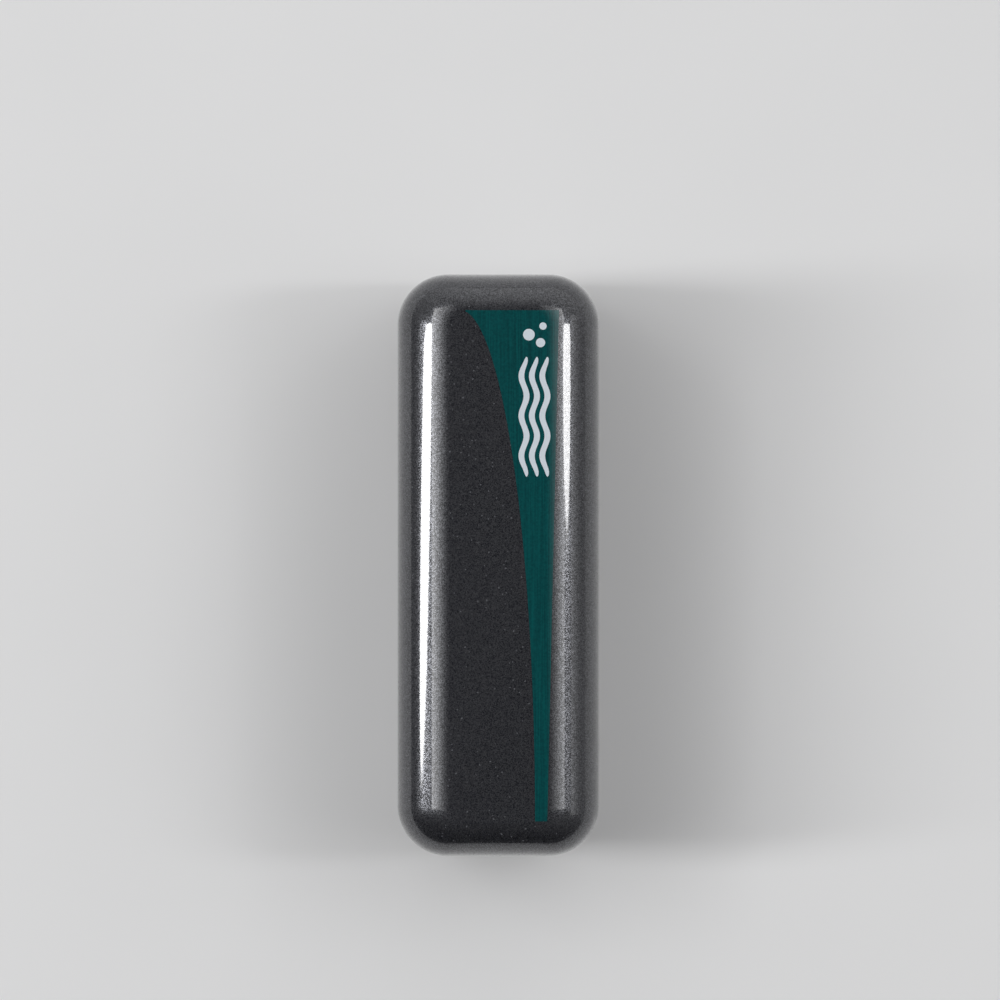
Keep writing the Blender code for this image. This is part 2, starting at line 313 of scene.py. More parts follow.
class Finish(Web):
    """A material with its Principled shader. Constants go on the shader's own sockets."""

    def __init__(self, name, **constants):
        self.material = bpy.data.materials.new(name)
        self.material.use_nodes = True
        super().__init__(self.material.node_tree)
        self.shader = self.tree.nodes["Principled BSDF"]
        self.place = self.node("TexCoord")["Object"]
        self.feed(**constants)

    def feed(self, **links):
        """Sets or links the shader's sockets, named with _ for a space."""
        for socket, value in links.items():
            self.put(self.shader.inputs[socket.replace("_", " ")], value)
        return self.material

    def mix(self, share, first, second):
        """A colour between two colours."""
        return self.node("Mix", {"data_type": "RGBA"}, {0: share, 6: first, 7: second})[2]

    def noise(self, size, detail=2.0, stretch=(1, 1, 1)):
        """Cloudy noise from 0 to 1, in lumps of about size millimetres, stretched along the axes."""
        scale = [1 / times for times in stretch]
        place = self.node("Mapping", {}, {"Vector": self.place, "Scale": scale})[0]
        inputs = {"Vector": place, "Scale": 1 / (size * MM), "Detail": detail}
        return self.node("TexNoise", {}, inputs)[0]

    def grains(self, size):
        """Three random numbers from 0 to 1 for each grain, size millimetres across."""
        cells = self.node("TexVoronoi", {}, {"Vector": self.place, "Scale": 1 / (size * MM)})
        return self.node("SeparateColor", {}, {0: cells["Color"]})

    def relief(self, height, depth):
        """Bumps the surface: height from 0 to 1 stands for depth millimetres."""
        return self.node("Bump", {}, {"Height": height, "Distance": depth * MM, "Strength": 1.0})[0]


# %% [markdown]
# ## Black flake plastic
#
# Both bars are moulded in black plastic with fine metallic flakes, under a hard clear gloss. Every grain of a
# Voronoi pattern draws a number that says how much of a flake it is: metallic and light, so it glitters where
# the shoulder catches a lamp and stays quiet on the flat. In a second, coarser pattern about one grain in two
# hundred is a painted glint: a light grey speck that isn't metallic, so it shines from every side whatever the
# light. A faint bump unsettles the flakes but not the clear gloss, so the lamps' reflections stay crisp.

# %% Black flake plastic
FLAKE_SIZE = 0.12
FLAKE_DRAW = (0.15, 1.0)
FLAKE_GREY = (0.150, 0.153, 0.166)
FLAKE_TILT = 0.004
# Painted glints: about one coarse grain in two hundred is coloured light grey, so it shines whatever the light.
PAINTED_GLINT_SIZE = 0.2
PAINTED_GLINT_DRAW = (0.992, 0.998)
PAINTED_GLINT_GREY = (0.110, 0.113, 0.125)
BLACKS = (0.0085, 0.0090, 0.0125), (0.0130, 0.0135, 0.0175)


def flake_plastic():
    """Black, with flakes and painted glints mixed in where a grain's number passes the draw's two ends."""
    finish = Finish("black_flake_plastic", Coat_Weight=1.0, Coat_Roughness=0.05, Specular_IOR_Level=0.15)
    cloud = finish.noise(0.5, 3.0)
    flake = finish.grains(FLAKE_SIZE)["Red"].step(*FLAKE_DRAW)
    # Painted glint: a few coarse grains, picked out to get a light grey colour instead of a reflection.
    painted_glint = finish.grains(PAINTED_GLINT_SIZE)["Green"].step(*PAINTED_GLINT_DRAW)
    black = finish.mix(cloud, *BLACKS)
    # The light colour is the metallic flakes' own grey, and the painted glints' grey.
    light = finish.mix(painted_glint, FLAKE_GREY, PAINTED_GLINT_GREY)
    return finish.feed(
        Base_Color=finish.mix(flake * 0.8 + painted_glint, black, light),
        Metallic=flake * (1 - painted_glint) * 0.96,
        Roughness=0.23 + cloud * 0.07,
        Normal=finish.relief(finish.noise(0.3, 2.0), FLAKE_TILT),
    )


BLACK_PLASTIC = flake_plastic()
print(f"{BLACK_PLASTIC.name} has {len(BLACK_PLASTIC.node_tree.nodes)} nodes")

# %% [markdown]
# ## The bar's outline
#
# Seen from above, both bars are rounded rectangles, and so are their seats, tongues and pads. One outline
# function serves them all. It walks once round: each stop has a corner centre that it belongs to, or a place
# between two of them on a straight side, and a direction outwards.

# %% Outlines
CORNER_STEPS = 18
END_STEPS = 5
SIDE_STEPS = 22


def walk_round():
    """Stops once round, anticlockwise: the way to the corner centres, and a direction out."""
    centres = np.array([(1, 1), (-1, 1), (-1, -1), (1, -1), (1, 1)], float)
    shares = []
    turns = []
    for corner in range(4):
        straight = END_STEPS if corner % 2 == 0 else SIDE_STEPS
        shares.append(np.repeat(centres[corner:corner + 1], CORNER_STEPS, axis=0))
        turns.append(np.linspace(corner, corner + 1, CORNER_STEPS))
        part = np.linspace(0, 1, straight + 1)[1:-1, None]
        shares.append(centres[corner] * (1 - part) + centres[corner + 1] * part)
        turns.append(np.full(straight - 1, corner + 1.0))
    turns = np.concatenate(turns) * np.pi / 2
    return np.concatenate(shares), np.stack([np.cos(turns), np.sin(turns)], axis=-1)


SHARES, OUTWARDS = walk_round()


def outlines(half_x, half_y, radius, height):
    """Rings of a rounded rectangle, one for each entry of the four arrays.

    A point is its corner centre, half size less radius, plus the radius along its direction outwards.
    """
    half_x, half_y, radius, height = np.broadcast_arrays(half_x, half_y, radius, height)
    reach = np.stack([half_x - radius, half_y - radius], axis=-1)[:, None, :]
    flat = SHARES * reach + OUTWARDS * radius[:, None, None]
    upright = np.broadcast_to(height[:, None, None], (*flat.shape[:2], 1))
    return np.concatenate([flat, upright], axis=-1)


def plan(inset, height):
    """The bar's outline moved in by inset, at each height."""
    inset = np.asarray(inset, float)
    return outlines(WIDTH / 2 - inset, LENGTH / 2 - inset, CORNER - inset, np.asarray(height, float))


print(f"an outline has {len(SHARES)} points")

# %% [markdown]
# ## The covers
#
# A cover is a moulded shell: straight walls with a little draft, then a shoulder that rolls over to a flat
# crown. The roll is a quarter of an ellipse, tighter at the ends than along the sides, and the corner's
# radius shrinks on the way up. Modelling it with a bevel would give one radius all round, so the surface is
# worked out ring by ring: one number, the turn of the wall, gives size, radius and height together.
#
# The section starts in the middle of the ceiling, runs down the inner wall, round the rim and up the
# outside to the middle of the crown, so the shell is closed.

# %% Crown surface
ROLL_STEPS = 40
RIM_EDGE = 0.25
EDGE_STEPS = 5
WALL_STEPS = 6
HALVINGS = 40


def crown(turn, inset):
    """Rings of the crowned surface at each turn of the wall: 0 is upright, a quarter turn is flat on top.

    The roll inwards grows with 1 - cos(turn) and the rise with sin(turn). inset moves the surface in along
    its own direction.
    """
    roll = 1 - np.cos(turn)
    inwards = DRAFT + inset * np.cos(turn)
    radius = CORNER + (FLAT_CORNER - CORNER) * roll - inwards * np.cos(turn)
    rise = (HEIGHT - SHOULDER_FOOT - inset) * np.sin(turn)
    half_x = WIDTH / 2 - SIDE_ROLL * roll - inwards
    half_y = LENGTH / 2 - END_ROLL * roll - inwards
    return outlines(half_x, half_y, radius, SHOULDER_FOOT + rise)


def crown_height(x, y, inset=0.0):
    """Height of the crowned surface over points x, y.

    The roll whose ring passes through a point is found by halving an interval many times. The height then
    follows from it, because the sine of the turn is the root of 1 less the cosine squared.
    """
    low = np.zeros_like(x)
    high = np.ones_like(x)
    for _ in range(HALVINGS):
        roll = (low + high) / 2
        inwards = DRAFT + inset * (1 - roll)
        radius = CORNER + (FLAT_CORNER - CORNER) * roll - inwards * (1 - roll)
        over_x = np.abs(x) - (WIDTH / 2 - SIDE_ROLL * roll - inwards) + radius
        over_y = np.abs(y) - (LENGTH / 2 - END_ROLL * roll - inwards) + radius
        outside = np.hypot(np.maximum(over_x, 0), np.maximum(over_y, 0))
        inside = outside + np.minimum(np.maximum(over_x, over_y), 0) < radius
        low = np.where(inside, roll, low)
        high = np.where(inside, high, roll)
    return SHOULDER_FOOT + (HEIGHT - SHOULDER_FOOT - inset) * np.sqrt(1 - (1 - low) ** 2)


def cover_shell():
    """The whole shell: inside down, round the rim, outside up."""
    roll = np.linspace(0, np.pi / 2, ROLL_STEPS)
    edge = np.linspace(0, np.pi / 2, EDGE_STEPS)
    wall = np.linspace(COVER_RIM + RIM_EDGE, SHOULDER_FOOT, WALL_STEPS)
    draft = DRAFT * (wall - COVER_RIM) / (SHOULDER_FOOT - COVER_RIM)
    rim_out = plan(RIM_EDGE * (1 - np.sin(edge)), COVER_RIM + RIM_EDGE * (1 - np.cos(edge)))
    rim_in = plan(WALL - RIM_EDGE * (1 - np.cos(edge)), COVER_RIM + RIM_EDGE * (1 - np.sin(edge)))
    inner = [crown(roll[::-1], WALL), plan(WALL + draft[::-1], wall[::-1])[1:], rim_in[1:]]
    outer = [rim_out, plan(draft, wall)[1:-1], crown(roll, 0.0)]
    return stack(np.concatenate(inner + outer))


flat_size = WIDTH - 2 * (SIDE_ROLL + DRAFT), LENGTH - 2 * (END_ROLL + DRAFT)
print(f"the crown's flat is {flat_size[0]:.1f} x {flat_size[1]:.1f} mm")

# %% [markdown]
# Three ribs stiffen the ceiling from inside. They press on the foam block. A block is an outline drawn four
# times: chamfered at the foot and at the top.

# %% Covers
RIB_PLACES = (-26.0, 0.0, 26.0)
RIB_SIZE = (9.0, 0.6)
RIB_DEPTH = 2.0


def block(centre, half_x, half_y, low, high, edge=0.15):
    """Upright block with softened edges."""
    inset = np.array([edge, 0.0, 0.0, edge])
    height = np.array([low, low + edge, high - edge, high])
    rings = outlines(half_x - inset, half_y - inset, 2 * edge - inset, height)
    return stack(rings + (*centre, 0.0))


def cover():
    """The shell and its ribs, which reach up into the ceiling."""
    ceiling = HEIGHT - WALL
    ribs = [block((0.0, y), *RIB_SIZE, ceiling - RIB_DEPTH, ceiling + WALL / 2) for y in RIB_PLACES]
    return together(cover_shell(), *ribs)


piece(
    "handle_cover_shell", on_handle(cover()), BLACK_PLASTIC, "handle_half", ["handle_cover"]
)
piece(
    "float_cover_shell", on_float(cover()), BLACK_PLASTIC, "float_half", ["float_cover"]
)

# %% [markdown]
# ## The bases
#
# A base plate closes each half. Its face has a shallow seat for the pad, and a tongue stands up inside the
# cover's rim. Again one section gives the whole body: from the middle of the seat, out over the face, round
# the side and in again over the tongue.

# %% Base plate
PLATE_EDGE = 0.45
PLATE_LIP = 0.12
TONGUE_INSET = WALL + GAP
TONGUE_WALL = 1.2
TONGUE_TOP = 6.4


def plate():
    """Seat, face, side, top of the plate and tongue, as one section carried round the outline."""
    edge = np.linspace(0, np.pi / 2, EDGE_STEPS)
    foot = plan(PLATE_EDGE * (1 - np.sin(edge)), PLATE_EDGE * (1 - np.cos(edge)))
    top = plan(RIM_EDGE * (1 - np.cos(edge)), PLATE - RIM_EDGE * (1 - np.sin(edge)))
    seat = plan([SEAT_INSET, SEAT_INSET, SEAT_INSET - PLATE_LIP], [SEAT_DEPTH, PLATE_LIP, 0.0])
    inner = TONGUE_INSET + TONGUE_WALL
    shoulder = TONGUE_TOP - PLATE_LIP
    tongue = plan(
        [TONGUE_INSET, TONGUE_INSET, TONGUE_INSET + PLATE_LIP, inner - PLATE_LIP, inner, inner],
        [PLATE, shoulder, TONGUE_TOP, TONGUE_TOP, shoulder, PLATE],
    )
    return stack(np.concatenate([seat, foot, top, tongue]))


print(f"a base plate has {len(plate()[1])} faces")

# %% [markdown]
# Low walls hold the four magnets, and two staked posts hold the steel keeper on top of them. Their places
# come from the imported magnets. Three snap beads a side click into the cover.

# %% Bases
POCKET_WALL = 1.2
BEAD_PLACES = (-28.0, 0.0, 28.0)
BEAD_HALF_LENGTH = 4.0
BEAD_HEIGHT = 0.8
BEAD_REACH = 0.7
BEAD_EDGE = 0.2
BEAD_Z = 5.2
POST_PLACES = (-20.0, 20.0)
POST_RADIUS = 1.3
POST_HEAD_RADIUS = 2.3
POST_HEAD = 0.9
POST_HEAD_EDGE = 0.2


def pocket_walls(half):
    """Two long walls beside the four magnets, and five short ones between and beyond them."""
    boxes = [node_box(f"{half}_magnet_{number}") for number in (1, 2, 3, 4)]
    half_width = (boxes[0][1][0] - boxes[0][0][0]) / 2 + GAP
    ends = sorted([box[side][1] for box in boxes for side in (0, 1)])
    top = PLATE - (SEAT_DEPTH + GAP) + (boxes[0][1][2] - boxes[0][0][2])
    middles = [(low + high) / 2 for low, high in zip(ends[1::2], ends[2::2])]
    outermost = ends[-1] + GAP + POCKET_WALL / 2
    between = (ends[2] - ends[1]) / 2 - GAP
    walls = [block((0.0, y), half_width, between, PLATE / 2, top) for y in middles]
    walls += [block((0.0, side * outermost), half_width, POCKET_WALL / 2, PLATE / 2, top) for side in (-1, 1)]
    for side in (-1, 1):
        centre = (side * (half_width + POCKET_WALL / 2), 0.0)
        walls.append(block(centre, POCKET_WALL / 2, outermost + POCKET_WALL / 2, PLATE / 2, top))
    return walls


def post(y, keeper_top):
    """Staked post: a shank with a domed head, turned from its radius at each height."""
    head = keeper_top + GAP
    dome = np.linspace(POST_HEAD_EDGE, np.pi / 2 - POST_HEAD_EDGE, EDGE_STEPS)
    radius = [POST_RADIUS, POST_RADIUS, POST_HEAD_RADIUS, *(POST_HEAD_RADIUS * np.cos(dome))]
    height = [PLATE / 2, head, head, *(head + POST_HEAD * np.sin(dome))]
    radius = np.array(radius)
    return stack(outlines(radius, radius, radius, np.array(height)) + (0.0, y, 0.0))


def snap_bead(side, y):
    """Bar half sunk in the tongue's outer face."""
    centre = (side * (WIDTH / 2 - TONGUE_INSET), y)
    low = BEAD_Z - BEAD_HEIGHT / 2
    return block(centre, BEAD_REACH, BEAD_HALF_LENGTH, low, low + BEAD_HEIGHT, BEAD_EDGE)


def base(half, keeper_top):
    """Plate, pocket walls, posts and beads of one half."""
    posts = [post(y, keeper_top) for y in POST_PLACES]
    beads = [snap_bead(side, y) for side in (-1, 1) for y in BEAD_PLACES]
    return together(plate(), *pocket_walls(half), *posts, *beads)


handle_keeper_top = node_box("handle_keeper_plate")[1][2] - HANDLE_FACE
float_keeper_top = FLOAT_FACE - node_box("float_keeper_plate")[0][2]
piece(
    "handle_base_plate", on_handle(base("handle", handle_keeper_top)), BLACK_PLASTIC,
    "handle_half", ["handle_base"],
)
piece(
    "float_base_plate", on_float(base("float", float_keeper_top)), BLACK_PLASTIC,
    "float_half", ["float_base"],
)

# %% [markdown]
# ## The label
#
# A printed film lies on the right of the crown. Its left edge is a quarter of an ellipse that sweeps from
# the top corner down to a slim tail, and its right edge wraps on to the shoulder. So the film is a grid laid
# over the crown's own formula: a little above it on top, and just inside it below, which leaves no gap. The
# green ink shows faint lines along the bar, so its noise is stretched sixty times that way.

# %% Green film
LABEL_END = 41.6
LABEL_CURVE_X = -6.2
LABEL_CURVE_REACH = 12.2
LABEL_TIP_TURN = 85.9
LABEL_RIGHT_TOP = 9.9
LABEL_RIGHT_FOOT = 8.0
LABEL_ROWS = 90
LABEL_COLUMNS = 40
FILM_PROUD = 0.045
FILM_SUNK = 0.03
FILM_GREENS = (0.0004, 0.040, 0.045), (0.0008, 0.080, 0.082)


def over_crown(x, y, lift):
    """Points over x, y at a height above the crown."""
    return np.stack([x, y, crown_height(x, y) + lift], axis=-1)


def label_film():
    """Rows follow the ellipse's turn, so they crowd where the edge is steep; columns share out each row."""
    turn = np.radians(np.linspace(0, LABEL_TIP_TURN, LABEL_ROWS))
    y = np.append(LABEL_END * (2 * np.sin(turn) - 1), LABEL_END)
    left = LABEL_CURVE_X + LABEL_CURVE_REACH * np.append(np.cos(turn), np.cos(turn[-1]))
    right = LABEL_RIGHT_FOOT + (LABEL_RIGHT_TOP - LABEL_RIGHT_FOOT) * (y / LABEL_END + 1) / 2
    share = np.linspace(0, 1, LABEL_COLUMNS)
    x = left[:, None] + (right - left)[:, None] * share
    y = np.broadcast_to(y[:, None], x.shape)
    return film(over_crown(x, y, FILM_PROUD), over_crown(x, y, -FILM_SUNK))


def green_film():
    """Green ink in faint lines, with about one grain in four a little metallic, under a clear gloss."""
    finish = Finish("green_label_film", Coat_Weight=1.0, Coat_Roughness=0.05, Specular_IOR_Level=0.1)
    lines = finish.noise(0.22, 2.0, (1, 60, 1))
    cloud = finish.noise(0.35, 3.0)
    grain = finish.grains(FLAKE_SIZE)
    streaks = (lines * 0.6 + cloud * 0.4).step(0.3, 0.7)
    return finish.feed(
        Base_Color=finish.mix(streaks, *FILM_GREENS),
        Metallic=grain["Red"].step(0.74, 0.80) * 0.3,
        Roughness=0.30 + cloud * 0.1,
        Normal=finish.relief(lines * 0.5 + grain["Blue"] * 0.5, 0.006),
    )


piece(
    "handle_label_film", on_handle(label_film()), green_film(), "handle_half", ["handle_label"]
)

# %% [markdown]
# The print on the film is a plain water mark of three ripples and three bubbles. Each ripple is a ribbon
# whose middle line is a sine wave along the bar, and whose width tapers at both ends.

# %% White ink
INK_THICK = 0.03
INK_WHITES = (0.60, 0.67, 0.74), (0.72, 0.78, 0.83)
RIPPLE_MIDDLES = (4.2, 5.9, 7.6)
RIPPLE_SPAN = (14.5, 34.0)
RIPPLE_LENGTH = 6.5
RIPPLE_SWING = 0.42
RIPPLE_HALF_WIDTH = 0.48
RIPPLE_ROWS = 121
RIPPLE_COLUMNS = 5
RIPPLE_TIP = 0.002
BUBBLES = ((6.9, 36.3, 0.75), (5.0, 37.6, 0.95), (7.3, 39.0, 0.6))


def ripple(middle):
    """Ribbon of swing times the sine of the length; the half width is a root of 1 less an eighth power."""
    share = np.linspace(-1, 1, RIPPLE_ROWS)[:, None]
    y = np.interp(share, (-1, 1), RIPPLE_SPAN)
    half_width = RIPPLE_HALF_WIDTH * np.sqrt(1 + RIPPLE_TIP - share**8)
    across = half_width * np.linspace(-1, 1, RIPPLE_COLUMNS)
    x = middle + RIPPLE_SWING * np.sin(2 * np.pi * y / RIPPLE_LENGTH) + across
    y = np.broadcast_to(y, x.shape)
    return film(over_crown(x, y, FILM_PROUD + INK_THICK), over_crown(x, y, FILM_PROUD - INK_THICK))


def bubble(x, y, radius):
    """Thin disc on the film."""
    height = HEIGHT + FILM_PROUD + np.array([-INK_THICK, INK_THICK])
    return stack(outlines(radius, radius, radius, height) + (x, y, 0.0))


def white_ink():
    """Cool white, a little uneven, under the same clear gloss."""
    finish = Finish("white_label_ink", Coat_Weight=1.0, Coat_Roughness=0.05)
    cloud = finish.noise(0.3, 3.0)
    white = finish.mix(cloud, *INK_WHITES)
    return finish.feed(Base_Color=white, Roughness=0.42 + cloud * 0.1, Normal=finish.relief(cloud, 0.003))


print_shapes = [ripple(middle) for middle in RIPPLE_MIDDLES] + [bubble(*place) for place in BUBBLES]
mark = on_handle(together(*print_shapes))
piece("handle_label_print", mark, white_ink(), "handle_half")

# %% [markdown]
# ## Rough surfaces and fibres
#
# Felt, fleece and loops need disorder that is the same on every run. A sum of sine waves with seeded random
# directions gives a smooth field, which roughens a surface or bends a fibre.

# %% Seeded disorder


def swell(points, size, seed, waves=14):
    """Smooth random field from about -1 to 1, with lumps of about size millimetres."""
    random = np.random.default_rng(seed)
    aim = random.normal(size=(waves, 3))
    aim *= 2 * np.pi / (size * np.linalg.norm(aim, axis=1, keepdims=True))
    phase = random.uniform(0, 2 * np.pi, waves)
    return np.sin(points @ aim.T + phase).sum(axis=-1) / np.sqrt(waves)


def roughened(rings, amount, size, seed):
    """Each point moved by three smooth fields, one for each axis."""
    moves = [swell(rings, size, seed + axis) for axis in range(3)]
    return rings + amount * np.stack(moves, axis=-1)


print(f"the swell at the origin is {swell(np.zeros(3), size=1.0, seed=1):.3f} on every run")

# %% [markdown]
# The pads are die-cut sheets, so each is a slab with softened edges. The cut edge is straight, and whatever
# grows on a pad is held close to that outline.

# %% Pad slabs
PAD_INSET = SEAT_INSET + GAP
PAD_MIDDLE = 0.8
SMALLEST_CORNER = 0.4


def pad_rings(low, high, inset, edge, steps=7, inner_rings=9):
    """Rings of a die-cut pad from the middle of its foot to the middle of its top, with softened edges.

    The rings on both faces shrink towards the middle line, so the faces can be roughened too.
    """
    bend = np.linspace(0, np.pi / 2, steps)
    shrink = np.linspace(WIDTH / 2 - inset - PAD_MIDDLE, edge, inner_rings)[:-1]
    side = np.linspace(low + edge, high - edge, 6)[1:-1]
    start, end = edge * (1 - np.cos(bend)), edge * (1 - np.sin(bend))
    insets = inset + np.concatenate([shrink, end, 0 * side, start, shrink[::-1]])
    heights = np.concatenate([0 * shrink + low, low + start, side, high - end, 0 * shrink + high])
    radius = np.maximum(CORNER - insets, SMALLEST_CORNER)
    return outlines(WIDTH / 2 - insets, LENGTH / 2 - insets, radius, heights)


def reach_past(points, inset):
    """How far points lie past the corner centres of the pad's outline, in x and y, and straight."""
    corner = CORNER - inset
    straight = np.array([WIDTH, LENGTH]) / 2 - inset - corner
    over = np.maximum(np.abs(points[..., :2]) - straight, 0)
    return straight, over, np.linalg.norm(over, axis=-1, keepdims=True)


def held_in(points, inset):
    """Points outside the pad's outline drawn back to it, towards the nearest corner centre or side."""
    straight, over, reach = reach_past(points, inset)
    shrink = np.minimum(1, (CORNER - inset) / np.maximum(reach, 1e-6))
    flat = np.sign(points[..., :2]) * (np.minimum(np.abs(points[..., :2]), straight) + over * shrink)
    return np.concatenate([flat, points[..., 2:]], axis=-1)


pad_size = WIDTH - 2 * PAD_INSET, LENGTH - 2 * PAD_INSET
print(f"every pad is cut to {pad_size[0]:.1f} x {pad_size[1]:.1f} mm")

# %% [markdown]
# Fibres start from seeds, which are random places on a pad's face or round its side, and lie along the
# surface there. A real fibre is crimped, so its path adds a curve, ripples and a bow to a straight line.

# %% Seeds and fibres


def seeds_on_face(count, height, inset, random):
    """Random places on a pad's flat face."""
    spread = random.uniform(-1, 1, (count, 2)) * (np.array([WIDTH, LENGTH]) / 2 - inset)
    return held_in(np.column_stack([spread, np.full(count, height)]), inset)


def seeds_on_side(count, low, high, inset, random):
    """Random places round a pad's side, by distance walked along the outline, and the directions out."""
    ring = plan([inset], [0.0])[0, :, :2]
    ring = np.vstack([ring, ring[:1]])
    outward = np.vstack([OUTWARDS, OUTWARDS[:1]])
    walked = np.append(0, np.cumsum(np.linalg.norm(np.diff(ring, axis=0), axis=1)))
    at = random.uniform(0, walked[-1], count)
    place = [np.interp(at, walked, ring[:, axis]) for axis in (0, 1)]
    out = [np.interp(at, walked, outward[:, axis]) for axis in (0, 1)]
    height = random.uniform(low, high, count)
    return np.column_stack([*place, height]), np.column_stack([*out, 0 * height])


def fibres(points, out, length, stops, lift, crimp, random):
    """Crimped fibres that lie along a surface.

    Each sets off sideways, curves as the square of its length, ripples as sines with random phases, and bows
    outwards by up to lift.
    """
    one = (len(points), 1, 1)
    sideways = np.cross(out, random.normal(size=points.shape))
    sideways /= np.linalg.norm(sideways, axis=1, keepdims=True)
    second = np.cross(out, sideways)
    share = np.linspace(-1, 1, stops)[None, :, None]
    reach = length / 2 * random.uniform(0.5, 1.0, one)
    curve = random.normal(0, crimp * 1.5, one) * share**2
    ripple_across = crimp * np.sin(random.uniform(4, 8, one) * share + random.uniform(0, 6.3, one))
    ripple_out = lift * 0.5 * np.sin(random.uniform(4, 8, one) * share + random.uniform(0, 6.3, one))
    bow = lift * random.uniform(-0.3, 0.8, one) * (1 - share**2)
    path = points[:, None] + sideways[:, None] * share * reach
    return path + second[:, None] * (curve + ripple_across) + out[:, None] * (bow + ripple_out)


# %% [markdown]
# ## The felt pad
#
# Charcoal felt slides on the dry side of the glass. It is a die-cut sheet 2.6 mm thick, so it is modelled
# as a padded slab with soft edges. Its surface is roughened, and short fibres lie all over it.

# %% Felt pad
FELT_FACE_HAIRS = 1900
FELT_SIDE_HAIRS = 1500
CHARCOALS = (0.016, 0.016, 0.018), (0.055, 0.055, 0.060)


def cloth_finish(name, dark, light, size, relief, sheen):
    """Matted fibres: colour from noise at two sizes, bump from the finer one, and a soft sheen."""
    finish = Finish(name, Sheen_Weight=sheen, Sheen_Roughness=0.5, Specular_IOR_Level=0.25)
    coarse = finish.noise(size * 6, 3.0)
    fine = finish.noise(size, 2.0)
    colour = finish.mix((coarse * 0.5 + fine * 0.5).step(0.3, 0.7), dark, light)
    return finish.feed(Base_Color=colour, Roughness=0.82 + fine * 0.15, Normal=finish.relief(fine, relief))


def felt_pad():
    """Roughened slab with hairs on the face towards the glass and round the side."""
    random = np.random.default_rng(11)
    low, high = (corner[2] for corner in node_box("handle_felt_pad"))
    body = roughened(pad_rings(low, high, PAD_INSET, edge=0.45), amount=0.035, size=0.9, seed=21)
    face = seeds_on_face(FELT_FACE_HAIRS, low, PAD_INSET + 0.2, random)
    side, side_out = seeds_on_side(FELT_SIDE_HAIRS, low + 0.2, high - 0.5, PAD_INSET, random)
    points = np.concatenate([face, side])
    out = np.concatenate([np.broadcast_to((0.0, 0.0, -1.0), face.shape), side_out])
    hairs = fibres(points, out, length=1.7, stops=6, lift=0.14, crimp=0.12, random=random)
    return together(stack(body), tubes(held_in(hairs, PAD_INSET - 0.22), radius=0.022))


felt = piece(
    "handle_felt_slab", felt_pad(),
    cloth_finish("charcoal_felt", *CHARCOALS, size=0.12, relief=0.05, sheen=0.25),
    "handle_half", ["handle_felt_pad"],
)

# %% [markdown]
# ## The scrub pad
#
# The pad that rubs the wet side is scouring fleece, a web of springy crimped fibres, on a thin loop backing.
# The web is a core slab under three thousand real fibres, each a thin tube that wanders and crosses others.
# They are kept off the backing, and pass the pad's own top by about 0.2 mm at most.

# %% Scouring fleece
FLEECE_FACE_FIBRES = 2100
FLEECE_SIDE_FIBRES = 900
FLEECE_GREYS = (0.10, 0.11, 0.11), (0.36, 0.38, 0.37)


def scouring_fleece():
    """Roughened core with fibres on the scouring face and round the side."""
    random = np.random.default_rng(5)
    low, high = (corner[2] for corner in node_box("scrub_scouring_pad"))
    core = pad_rings(low + 0.05, high - 0.12, PAD_INSET + 0.12, edge=0.3)
    face = seeds_on_face(FLEECE_FACE_FIBRES, high - 0.08, PAD_INSET + 0.2, random)
    side, side_out = seeds_on_side(FLEECE_SIDE_FIBRES, low + 0.3, high - 0.2, PAD_INSET + 0.05, random)
    points = np.concatenate([face, side])
    out = np.concatenate([np.broadcast_to((0.0, 0.0, 1.0), face.shape), side_out])
    web = fibres(points, out, length=6.0, stops=11, lift=0.22, crimp=0.35, random=random)
    web = held_in(web, PAD_INSET - 0.2)
    web[..., 2] = np.clip(web[..., 2], low + 0.1, high + 0.15)
    return together(stack(roughened(core, amount=0.08, size=1.1, seed=40)), tubes(web, radius=0.06))


fleece = piece(
    "scrub_fleece", scouring_fleece(),
    cloth_finish("grey_scouring_fleece", *FLEECE_GREYS, size=0.2, relief=0.08, sheen=0.1),
    "scrub_pad", ["scrub_scouring_pad"],
)

# %% [markdown]
# The backing is a knit sheet, and its loops are small arches that hang towards the hook tape. They stand in
# staggered rows, as knitted loops do.

# %% Loop backing
LOOP_STEP = (1.25, 1.15)
LOOP_HALF_WIDTH = 0.45
LOOP_DEPTH = 0.26
LOOP_THREAD = 0.035
LOOP_GREYS = (0.045, 0.045, 0.050), (0.13, 0.13, 0.14)


def staggered(step_x, step_y, inset):
    """Places in staggered rows that fall inside the pad's outline."""
    x, y = np.meshgrid(np.arange(-WIDTH / 2, WIDTH / 2, step_x), np.arange(-LENGTH / 2, LENGTH / 2, step_y))
    x = x + (np.arange(len(x)) % 2)[:, None] * step_x / 2
    places = np.stack([x, y, 0 * x], axis=-1).reshape(-1, 3)
    return places[reach_past(places, inset)[2][:, 0] < CORNER - inset]


backing_low, backing_high = (corner[2] for corner in node_box("scrub_loop_backing"))
loops_finish = cloth_finish("dark_loop_knit", *LOOP_GREYS, size=0.3, relief=0.06, sheen=0.2)
backing = piece(
    "scrub_loop_sheet", stack(pad_rings(backing_low, backing_high, PAD_INSET, edge=0.2)), loops_finish,
    "scrub_pad", ["scrub_loop_backing"],
)


